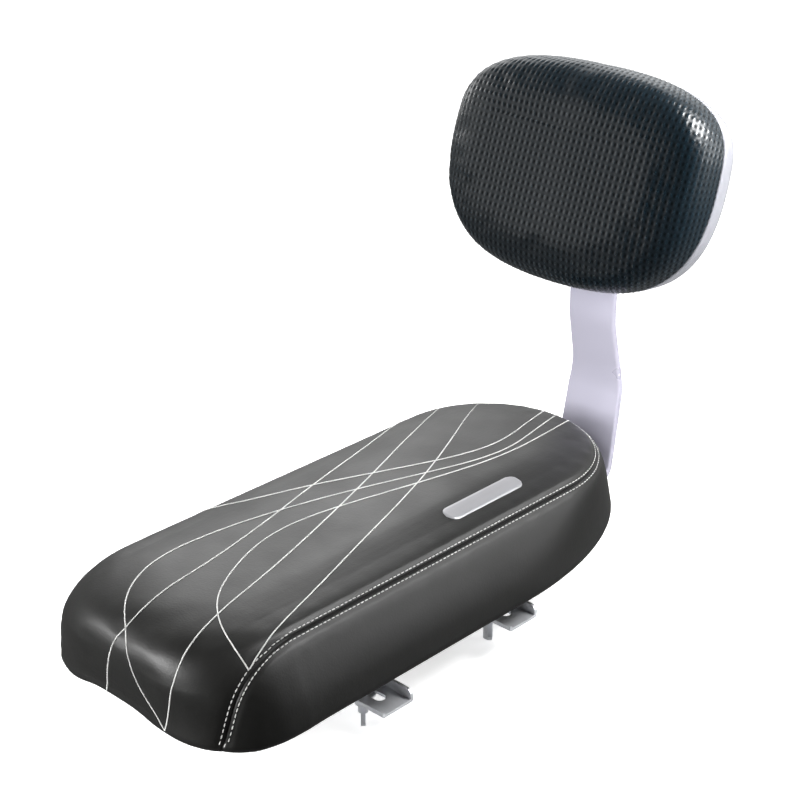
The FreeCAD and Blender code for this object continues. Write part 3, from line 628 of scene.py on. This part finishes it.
def seam_offset(gap, reach):
    """How far the leather stands out at a gap from the seam, at a reach along it."""
    groove = -GROOVE_DEPTH * math.exp(-(gap / GROOVE_WIDTH) ** 2)
    flange = -FLANGE_DEPTH * math.exp(-(gap / FLANGE_WIDTH) ** 4)
    shoulder = SHOULDER_RISE * math.exp(-((gap - SHOULDER_GAP) / SHOULDER_WIDTH) ** 2)
    ripple = math.sin(reach / 1.9) * math.sin(reach / 7.3 + 1) + 0.7 * math.sin(reach / 3.1 + 2)
    gather = GATHER_RISE * ripple * math.exp(-((gap - GATHER_GAP) / GATHER_WIDTH) ** 2)
    return groove + flange + shoulder + gather


smooth_panel, smooth_band = BVHTree.FromBMesh(panel), BVHTree.FromBMesh(band)
for grid in (panel, band):
    grid.normal_update()
    offsets = [(vert, vert.normal.copy(), seam_offset(*from_seam(vert.co))) for vert in grid.verts]
    for vert, normal, offset in offsets:
        vert.co += normal * offset * min(1.0, max(FADE_LEAST, vert.co.z / FADE_HEIGHT))
    for vert in grid.verts:
        vert.co.z += hem_drop(vert.co)
    to_metres(grid)
    grid.normal_update()

panel_skin, band_skin = BVHTree.FromBMesh(panel), BVHTree.FromBMesh(band)
seat_panel = finish_piece("seat_top_panel_leather", panel, leather, "seat",
                          ["seat_top_panel", "seat_foam"])
seat_band = finish_piece("seat_side_band_leather", band, leather, "seat",
                         ["seat_side_band"])
for piece in (seat_panel, seat_band):
    finer = piece.modifiers.new("finer", "SUBSURF")
    finer.levels = finer.render_levels = 1

# %% [markdown]
# Two rows of white lock stitch hold the seam, one on each side of the groove. Each stitch is a short
# rounded bead of thread; its ends sink into the leather.

# %% Seam stitches
STITCH_PITCH, STITCH_LENGTH, STITCH_THICKNESS, STITCH_LIFT = 3.2, 2.7, 0.66, 0.12
ROW_OFFSET = 2.15


def along_seam(reach):
    """Point and direction of the seam at a distance from its start."""
    index = 0
    while index < len(seam_reach) - 2 and seam_reach[index + 1] < reach:
        index += 1
    while index < len(seam_line) - 2 and seam_reach[index + 1] - seam_reach[index] < 1e-6:
        index += 1
    span = seam_line[index + 1] - seam_line[index]
    share = (reach - seam_reach[index]) / span.length
    return seam_line[index] + span * share, span.normalized()


def stitch_row(bm, smooth, skin, side):
    """Beads along the seam, set off to one side over the smooth form and pressed on to the sewn skin."""
    first_reach = seam_reach[HEM_ROWS]
    count = int((seam_reach[-1] - 2 * first_reach) / STITCH_PITCH)
    for number in range(count):
        point, direction = along_seam(first_reach + (number + 0.5) * STITCH_PITCH)
        _, normal, _, _ = smooth.find_nearest(point)
        inwards = normal.cross(direction).normalized()
        place, normal, _, _ = smooth.find_nearest(point + inwards * side * ROW_OFFSET)
        place.z += hem_drop(place)
        place, _, _, _ = skin.find_nearest((place - normal * FLANGE_DEPTH) * MM)
        forward = (direction - normal * direction.dot(normal)).normalized()
        sideways = normal.cross(forward)
        turn = Matrix((forward, sideways, normal)).transposed().to_4x4()
        stitch = bead.copy()
        stitch.transform(Matrix.Translation(place + normal * STITCH_LIFT * MM) @ turn)
        bm.from_mesh(stitch)
        bpy.data.meshes.remove(stitch)
    return count


bead_shape = bmesh.new()
bmesh.ops.create_uvsphere(bead_shape, u_segments=6, v_segments=6, radius=STITCH_THICKNESS / 2 * MM)
bmesh.ops.scale(bead_shape, vec=(STITCH_LENGTH / STITCH_THICKNESS, 1, 1), verts=bead_shape.verts[:])
bead = bpy.data.meshes.new("bead")
bead_shape.to_mesh(bead)
bead_shape.free()
stitches = bmesh.new()
count = (stitch_row(stitches, smooth_panel, panel_skin, 1)
         + stitch_row(stitches, smooth_band, band_skin, -1))
finish_piece("seat_seam_stitches", stitches, thread_white, "seat")
print(count, "stitches")

# %% [markdown]
# Six long white threads cross the top in two sweeps. Each is drawn as a smooth curve along a few
# control points and then laid on the leather, half sunk, as a couched cord is.

# %% Sweeping threads
SWEEPS = {  # control points on the top, in mm
    "sweep_1": [(-69, -86, 48), (-46, -47, 54), (-20, 17, 55), (8, 78, 55), (10, 118, 55), (-8, 168, 50)],
    "sweep_2": [(35, -200, 0), (18, -201, 16), (11, -202, 36), (-4, -194, 52), (-26, -172, 55),
                (-37, -137, 55), (-34, -92, 55), (-20, -28, 55), (4, 40, 55), (19, 84, 55), (18, 120, 55),
                (2, 169, 50)],
    "sweep_3": [(70, -169, 40), (54, -170, 52), (27, -157, 55), (8, -128, 55), (-9, -88, 55),
                (-9, -48, 55), (4, 4, 55), (16, 54, 55), (24, 98, 55), (21, 140, 55), (13, 168, 50)],
    "sweep_4": [(-15, -200, 0), (-8, -202, 28), (2, -197, 50), (-4, -170, 55), (-9, -130, 55),
                (-19, -82, 55), (-34, -26, 55), (-50, 32, 54), (-69, 98, 48)],
    "sweep_5": [(35, -200, 0), (43, -199, 24), (43, -192, 48), (37, -170, 55), (25, -118, 55),
                (6, -58, 55), (-14, 0, 55), (-33, 52, 55), (-64, 130, 49)],
    "sweep_6": [(70, -168, 40), (66, -150, 52), (55, -112, 54), (36, -52, 55), (14, 14, 55),
                (-9, 70, 55), (-50, 152, 50)],
}
THREAD_RADIUS, THREAD_LIFT = 0.4, 0.1


def curve_mesh(name, kind, points, **settings):
    """The mesh of a curve along some points in metres; order, ends and resolution matter to NURBS."""
    curve = bpy.data.curves.new(name, "CURVE")
    curve.dimensions = "3D"
    for field, value in settings.items():
        setattr(curve, field, value)
    spline = curve.splines.new(kind)
    spline.points.add(len(points) - 1)
    for knot, point in zip(spline.points, points):
        knot.co = (*point, 1)
    spline.order_u = 4
    spline.use_endpoint_u = True
    spline.resolution_u = 14
    holder = bpy.data.objects.new(name, curve)
    bpy.context.scene.collection.objects.link(holder)
    bpy.context.view_layer.update()
    solved = holder.evaluated_get(bpy.context.evaluated_depsgraph_get())
    mesh = bpy.data.meshes.new_from_object(solved)
    bpy.data.objects.remove(holder)
    return mesh


for name, points in SWEEPS.items():
    guide = curve_mesh(name, "NURBS", [Vector(point) * MM for point in points])
    laid = []
    for vert in guide.vertices:
        place, normal, _, _ = panel_skin.find_nearest(vert.co)
        laid.append(place + normal * THREAD_LIFT * MM)
    thread = bmesh.new()
    thread.from_mesh(curve_mesh(name + "_laid", "POLY", laid, bevel_depth=THREAD_RADIUS * MM,
                                bevel_resolution=1, use_fill_caps=True))
    finish_piece("seat_" + name + "_thread", thread, thread_white, "seat")

# %% [markdown]
# A small pill-shaped plate of silver foil is pressed on to the top, near the left side. It is bare.
# A grid is drawn into the pill's outline, laid on the leather and rounded down at its edge.

# %% Label plate
LABEL_CENTRE, LABEL_LENGTH, LABEL_WIDTH = (48.0, 41.0), 66.0, 12.6
LABEL_LIFT, LABEL_ROUND = 0.75, 0.7
ABOVE_SEAT = 80.0

label = bmesh.new()
bmesh.ops.create_grid(label, x_segments=12, y_segments=60, size=0.5)
radius = LABEL_WIDTH / 2
for vert in label.verts:
    along = vert.co.y * LABEL_LENGTH
    past = max(0.0, abs(along) - (LABEL_LENGTH / 2 - radius))
    across = vert.co.x * 2 * math.sqrt(max(0.0, radius * radius - past * past))
    rim = max(0.0, radius - math.hypot(across, past))
    lift = LABEL_LIFT * min(1.0, rim / LABEL_ROUND) ** 0.5
    over = Vector((LABEL_CENTRE[0] + across, LABEL_CENTRE[1] + along, ABOVE_SEAT)) * MM
    place, normal, _, _ = panel_skin.ray_cast(over, Vector((0, 0, -1)))
    vert.co = place + normal * lift * MM
bmesh.ops.remove_doubles(label, verts=label.verts[:], dist=0.02 * MM)
face_outwards(label, lambda face: face.calc_area(), Vector((0, 0, 1)))
finish_piece("seat_label_plate", label, label_metal, "seat")

# %% [markdown]
# The backrest pad is a squared-off oval, widest above its middle, drawn in its own plane and leaned
# back. A square grid is pulled round into the oval, so the mesh stays even, and its outer rows wrap
# over the edge and under the pad.

# %% Pad form
PAD_TILT, PAD_Y, PAD_Z = math.radians(18), 189.0, 210.7
PAD_HALF, PAD_RISE, PAD_FALL, PAD_SQUARE, PAD_TAPER = 98.2, 44.7, 95.7, 2.77, 0.055
PAD_DOME = 1.5
PAD_PROFILE = [  # inset from the outline and height over the pad's back, in mm
    (44.0, 31.4), (33.0, 31.3), (24.0, 30.9), (17.0, 30.0), (11.5, 28.4), (7.2, 25.8), (4.2, 22.4),
    (2.3, 18.4), (1.0, 14.0), (0.4, 9.5), (0.1, 5.0), (0.0, 2.0), (0.6, 0.0), (2.0, -0.9), (7.0, -1.0),
    (13.5, -1.0),
]
PAD_COLUMNS, PAD_ROWS = 300, 230
PAD_BROW, PAD_PASSES, PAD_SWELL, PAD_PIN_HEIGHT = 27.0, 24, 1.0, 4.0
FLAT_INSET, FLAT_HEIGHT = PAD_PROFILE[0]
PAD_MIDDLE = Vector((0, (PAD_FALL - PAD_RISE) / 2, 0))
lean = (Matrix.Translation(Vector((0, PAD_Y, PAD_Z)) * MM)
        @ Matrix.Rotation(math.pi / 2 - PAD_TILT, 4, "X") @ Matrix.Diagonal((MM, MM, MM, 1)))


def pad_oval(angle, inset):
    """Point of the pad's outline in its own plane, drawn in by an inset."""
    power = 2 / PAD_SQUARE
    across = math.copysign(abs(math.cos(angle)) ** power, math.cos(angle))
    up = math.copysign(abs(math.sin(angle)) ** power, math.sin(angle))
    reach = PAD_RISE - inset if up > 0 else PAD_FALL - inset
    return Vector(((PAD_HALF - inset) * across * (1 - PAD_TAPER * up), PAD_MIDDLE.y + up * reach, 0))


profile_reach = [FLAT_INSET]
for (inset, depth), (next_inset, next_depth) in zip(PAD_PROFILE, PAD_PROFILE[1:]):
    profile_reach.append(profile_reach[-1] + math.hypot(next_inset - inset, next_depth - depth))
PAD_REACH = profile_reach[-1]


def pad_section(reach):
    """Inset and height of the pad's surface at a distance from its middle, measured over the surface."""
    if reach <= FLAT_INSET:
        return None, FLAT_HEIGHT
    index = 0
    while index < len(profile_reach) - 2 and profile_reach[index + 1] < reach:
        index += 1
    share = (reach - profile_reach[index]) / (profile_reach[index + 1] - profile_reach[index])
    before, after = PAD_PROFILE[max(0, index - 1)], PAD_PROFILE[min(len(PAD_PROFILE) - 1, index + 2)]
    start, end = PAD_PROFILE[index], PAD_PROFILE[index + 1]
    return [0.5 * (2 * b + (c - a) * share + (2 * a - 5 * b + 4 * c - d) * share ** 2
                   + (3 * b - a - 3 * c + d) * share ** 3)
            for a, b, c, d in zip(before, start, end, after)]


pad = bmesh.new()
bmesh.ops.create_grid(pad, x_segments=PAD_COLUMNS, y_segments=PAD_ROWS, size=0.5)
extra_reach = {}  # how much longer the way over the surface is than the way across the plane
for vert in pad.verts:
    a, b = 2 * vert.co.x, 2 * vert.co.y
    disc = Vector((a * math.sqrt(1 - b * b / 2), b * math.sqrt(1 - a * a / 2)))
    reach = min(1.0, disc.length) * PAD_REACH
    angle = math.atan2(disc.y, disc.x)
    inset, depth = pad_section(reach)
    if inset is None:
        point = PAD_MIDDLE.lerp(pad_oval(angle, FLAT_INSET), reach / FLAT_INSET)
        extra_reach[vert] = 0.0
    else:
        point = pad_oval(angle, inset)
        extra_reach[vert] = reach - FLAT_INSET - (FLAT_INSET - inset)
    dome = PAD_DOME * (1 - (point.x / PAD_HALF) ** 2) * (1 - (point.y * 2 / (PAD_RISE + PAD_FALL)) ** 2)
    point.z = depth + max(0.0, dome) * clamp(depth / FLAT_HEIGHT)
    vert.co = point
relax(pad, [vert for vert in pad.verts if not vert.is_boundary and vert.co.z > PAD_BROW], PAD_PASSES)
swell("backrest padding", [pad], lambda point: 1.0 if point.z < PAD_PIN_HEIGHT else 0.0,
      cap=PAD_SWELL)
print("pad grid", len(pad.verts), "points, surface reach", round(PAD_REACH, 1), "mm")

# %% [markdown]
# Each point of the cover is given its place among the pits, counted over the surface from the middle,
# so that the rows run on round the edge. The pits are then pressed in along the surface's own normal.

# %% Pits
PIT_ACROSS, PIT_UP, PIT_DEPTH, PIT_TURN = 4.3, 4.8, 0.5, math.radians(2)

uv_layer = pad.loops.layers.uv.new("pits")
face_outwards(pad, lambda face: face.calc_center_median().z, Vector((0, 0, 1)))
turn = Matrix.Rotation(PIT_TURN, 2)
pits = {}
for vert in pad.verts:
    flat = (vert.co - PAD_MIDDLE).xy
    place = turn @ (flat + flat.normalized() * extra_reach[vert])
    pits[vert] = Vector((place.x / PIT_ACROSS, place.y / PIT_UP))
for face in pad.faces:
    for loop in face.loops:
        loop[uv_layer].uv = pits[loop.vert]
normals = [vert.normal.copy() for vert in pad.verts]
for vert, normal in zip(pad.verts, normals):
    along_row, between_rows = (math.cos(2 * math.pi * count) for count in pits[vert])
    wave = along_row * (ROW_LOW + (1 - ROW_LOW) * (1 + between_rows) / 2)
    vert.co -= normal * PIT_DEPTH * (1 - wave) / 2
bmesh.ops.transform(pad, matrix=lean, verts=pad.verts[:])
backrest_cover = finish_piece("backrest_embossed_cover", pad, vinyl, "seat",
                              ["backrest_cover", "backrest_foam"])

# %% [markdown]
# The shell behind the pad is a shallow moulded dish. One oval ring is extruded from level to level,
# out of the rim, round the turn and across the flat back.

# %% Shell
SHELL_LEVELS = [  # inset from the pad's outline and height over the pad's back, in mm
    (3.3, -1.6), (2.6, -1.0), (1.2, -1.0), (0.8, -1.5), (1.0, -5.0), (2.5, -14.0), (5.0, -18.5),
    (10.0, -22.0), (20.0, -25.2), (29.0, -26.6), (36.0, -27.0), (42.0, -27.0),
]
SHELL_POINTS = 160

shell = bmesh.new()
bmesh.ops.create_circle(shell, segments=SHELL_POINTS, radius=1, cap_ends=False)
edges, ring = shell.edges[:], shell.verts[:]
turns = [math.atan2(vert.co.y, vert.co.x) for vert in ring]
for number, (inset, depth) in enumerate(SHELL_LEVELS):
    if number:
        grown = bmesh.ops.extrude_edge_only(shell, edges=edges)["geom"]
        edges = [item for item in grown if isinstance(item, bmesh.types.BMEdge)]
        ring = [item for item in grown if isinstance(item, bmesh.types.BMVert)]
    for vert, turn in zip(ring, turns):
        vert.co = pad_oval(turn, inset)
        vert.co.z = depth
bmesh.ops.contextual_create(shell, geom=edges)
face_outwards(shell, lambda face: -face.calc_center_median().z, Vector((0, 0, -1)))
bmesh.ops.transform(shell, matrix=lean, verts=shell.verts[:])
finish_piece("backrest_moulded_shell", shell, abs_plastic, "seat", ["backrest_shell"])

# %% [markdown]
# The post is a flat steel bar, bent cold in four places: up behind the seat, forwards into a belly,
# upright again, and back to lie against the shell. One end face is pushed along the bent line, station
# by station; the bar narrows above the heel, and its long edges are broken with a small round.

# %% Post
POST_LINE = [(112, -2), (201.5, -2), (213.5, 66), (204.5, 108), (204.5, 162.4), (228.9, 237.7)]  # y, z
POST_BENDS, BEND_STEPS = [10, 60, 60, 60], 14
POST_THICK, POST_FOOT, POST_NECK, TAPER_LOW, TAPER_HIGH = 5.0, 45.0, 36.0, 36.0, 92.0
POST_EDGE, POST_CORNER = 1.1, 9.0


def bent_line(corners, radii):
    """Stations of a line with rounded corners, as (point, direction) in the plane of the bends."""
    corners = [Vector(corner) for corner in corners]
    stations = [(corners[0], (corners[1] - corners[0]).normalized())]
    for before, corner, after, radius in zip(corners, corners[1:], corners[2:], radii):
        entry, leave = (corner - before).normalized(), (after - corner).normalized()
        turn = entry.angle_signed(leave)
        start = corner - entry * radius * abs(math.tan(turn / 2))
        side = Vector((entry.y, -entry.x)) if turn > 0 else Vector((-entry.y, entry.x))
        centre = start + side * radius
        for step in range(BEND_STEPS + 1):
            swing = Matrix.Rotation(-turn * step / BEND_STEPS, 2)
            stations.append((centre + swing @ (start - centre), swing @ entry))
    stations.append((corners[-1], (corners[-1] - corners[-2]).normalized()))
    return stations


def post_width(height):
    share = clamp((height - TAPER_LOW) / (TAPER_HIGH - TAPER_LOW))
    return POST_FOOT + (POST_NECK - POST_FOOT) * share * share * (3 - 2 * share)


post = bmesh.new()
bmesh.ops.create_grid(post, x_segments=1, y_segments=1, size=0.5)
section = first_section = post.faces[:]
last_point, last_side = Vector((0, 0)), Vector((1, 0))  # the bar's thickness starts out along y
for number, (point, direction) in enumerate(bent_line(POST_LINE, POST_BENDS)):
    if number:
        grown = bmesh.ops.extrude_face_region(post, geom=section)["geom"]
        if number > 1:
            bmesh.ops.delete(post, geom=section, context="FACES")
        section = [item for item in grown if isinstance(item, bmesh.types.BMFace)]
    side = Vector((-direction.y, direction.x))
    for vert in section[0].verts:
        across = math.copysign(post_width(point.y) / 2, vert.co.x)
        through = math.copysign(POST_THICK / 2, (vert.co.yz - last_point).dot(last_side))
        vert.co = Vector((across, *(point + side * through)))
    last_point, last_side = point, side
face_outwards(post, lambda face: face.calc_center_median().x, Vector((1, 0, 0)))
ends = [edge for face in first_section + section for edge in face.edges
        if edge.calc_length() < POST_THICK + WELD]
bmesh.ops.bevel(post, geom=ends, offset=POST_CORNER, segments=6, profile=0.5, affect="EDGES", material=-1)
sharp = [edge for edge in post.edges if edge.is_manifold and edge.calc_face_angle() > math.radians(60)]
bmesh.ops.bevel(post, geom=sharp, offset=POST_EDGE, segments=3, profile=0.5, affect="EDGES", material=-1)
to_metres(post)
bent_post = finish_piece("backrest_bent_post", post, painted, "seat", ["backrest_post"])

# %% [markdown]
# The other solids keep their own shapes and take their finish here.

# %% Solids that stay
FINISHES = {
    zinc: ("clamp_bolts", "front_clamp_bar", "rear_clamp_bar", "front_clamp_washers",
           "rear_clamp_washers", "front_wing_nuts", "rear_wing_nuts", "post_tee_nuts", "post_washers",
           "post_bolts", "backrest_tee_nuts", "backrest_washers", "backrest_bolts"),
    plywood: ("seat_base_board", "backrest_board"),
}
for material, names in FINISHES.items():
    for name in names:
        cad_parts[name].data.materials.clear()
        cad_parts[name].data.materials.append(material)
    print(len(names), "solids in", material.name)

# %% [markdown]
# The part stands on a pale floor, as in a small product studio. The floor glows, as backlit acrylic
# does, more with the distance, and is kept out of the reflections so that the black leather stays black.

# %% Floor
FLOOR_HALF, GLOW_NEAR, GLOW_FAR = 25, 0.5, 1.8  # metres

floor_paint, tree, shader, spot = new_material("glowing white acrylic", Base_Color=colour("f6f6f6"),
                                               Roughness=0.9, Emission_Color=(1, 1, 1, 1))
away = add(tree, "ShaderNodeVectorMath", {0: spot}, operation="LENGTH").outputs["Value"]
wire(tree, shader, Emission_Strength=spread(tree, away, 0.6, 1.0, start=GLOW_NEAR, end=GLOW_FAR,
                                            interpolation_type="SMOOTHSTEP"))
floor_shape = bmesh.new()
bmesh.ops.create_grid(floor_shape, x_segments=1, y_segments=1, size=FLOOR_HALF)
bmesh.ops.translate(floor_shape, vec=(0, 0, cad_low[2]), verts=floor_shape.verts[:])
floor_mesh = bpy.data.meshes.new("studio_floor")
floor_shape.to_mesh(floor_mesh)
floor_shape.free()
floor_mesh.materials.append(floor_paint)
studio_floor = bpy.data.objects.new("studio_floor", floor_mesh)
bpy.context.scene.collection.objects.link(studio_floor)
studio_floor.visible_glossy = False

# %% [markdown]
# A large lamp behind on the left makes the sheen on top of the seat, and one behind on the right lifts
# the side. A small one close in front lights the front roll, and one above the left the middle of the
# top; black cards keep these two off the pad. Two draw the edge of the pad, and one lights the post.

# %% Lamps
def add_lamp(name, kind, place, aim, watts, **settings):
    lamp_data = bpy.data.lights.new(name, kind)
    lamp_data.energy = watts
    for field, value in settings.items():
        setattr(lamp_data, field, value)
    lamp = bpy.data.objects.new(name, lamp_data)
    lamp.location = place
    lamp.rotation_euler = (Vector(aim) - Vector(place)).to_track_quat("-Z", "Y").to_euler()
    lamp.visible_camera = False
    bpy.context.scene.collection.objects.link(lamp)
    print("lamp", name, watts, "W")
    return lamp


def add_softbox(name, place, aim, watts, width, height, **settings):
    return add_lamp(name, "AREA", place, aim, watts, shape="RECTANGLE", size=width, size_y=height,
                    **settings)


def light_only(lamp, pieces):
    """Keeps a lamp's light to some pieces, as black cards do in a studio."""
    lit = bpy.data.collections.new("lit by " + lamp.name)
    for piece in pieces:
        lit.objects.link(piece)
    lamp.light_linking.receiver_collection = lit


add_softbox("behind_left", (-1.0, 0.95, 0.95), (0, 0, 0.03), 4.5, 1.5, 1.0)
add_softbox("behind_right", (1.1, 0.95, 0.42), (0.05, 0, 0.03), 5, 0.9, 0.5)
add_softbox("pad_edge", (-0.52, 0.16, 0.33), (-0.08, 0.19, 0.26), 0.03, 0.08, 0.2,
            spread=math.radians(50))
add_softbox("pad_corner", (0.36, 0.36, 0.66), (0.08, 0.19, 0.26), 1.9, 0.5, 0.4,
            spread=math.radians(50))
front_near = add_lamp("front_near", "SPOT", (-0.2, -0.6, 0.21), (0.0, -0.2, 0.02), 46,
                      shadow_soft_size=0.19, spot_size=math.radians(36), spot_blend=0.5)
top_near = add_softbox("top_near", (-0.62, 0.48, 0.6), (0.04, -0.08, 0.05), 3.2, 0.5, 0.4)
post_front = add_softbox("post_front", (0.35, -0.45, 0.35), (0, 0.2, 0.12), 10, 0.4, 0.4)
all_but_pad = [item for item in bpy.context.scene.collection.objects
               if item.type == "MESH" and item != backrest_cover]
light_only(front_near, all_but_pad)
light_only(top_near, all_but_pad)
light_only(post_front, [bent_post])

# %% [markdown]
# White walls all round do the rest, as in a light tent. They are dark towards the camera and overhead,
# which keeps the front corner black and draws a dark band along the front roll, and dim below and in a
# gap on the left, where the pad's edge is seen.

# %% Light tent
BRIGHT_WALL = (-0.7, 0.7, 0.0)
ROOF_LEAN = -0.35  # the roof comes down towards the camera
SOFT = {"interpolation_type": "SMOOTHSTEP"}

world = bpy.data.worlds.new("light_tent")
world.use_nodes = True
tree = world.node_tree
walls = tree.nodes["Background"]
ray = add(tree, "ShaderNodeTexCoord").outputs["Generated"]
facing = add(tree, "ShaderNodeVectorMath", {0: ray, 1: BRIGHT_WALL},
             operation="DOT_PRODUCT").outputs["Value"]
axes = add(tree, "ShaderNodeSeparateXYZ", {"Vector": ray})
height = add(tree, "ShaderNodeMath", {0: facing, 1: ROOF_LEAN, 2: axes.outputs["Z"]},
             operation="MULTIPLY_ADD").outputs["Value"]
light = spread(tree, facing, 0.12, 1.08, start=-0.75, end=-0.1, **SOFT)
roof = spread(tree, height, 1.0, 0.12, start=0.36, end=0.56, **SOFT)
below = spread(tree, axes.outputs["Z"], 0.2, 1.0, start=-0.35, end=0.12, **SOFT)
gap = spread(tree, axes.outputs["X"], 0.4, 1.0, start=-0.98, end=-0.76, **SOFT)
for shade in (roof, below, gap):
    light = add(tree, "ShaderNodeMath", {0: light, 1: shade}, operation="MULTIPLY").outputs["Value"]
wire(tree, walls, Strength=light)
walls.inputs["Color"].default_value = (1, 1, 1, 1)
bpy.context.scene.world = world
bpy.context.scene.view_settings.view_transform = "Standard"
print("light tent, brightest towards", BRIGHT_WALL)
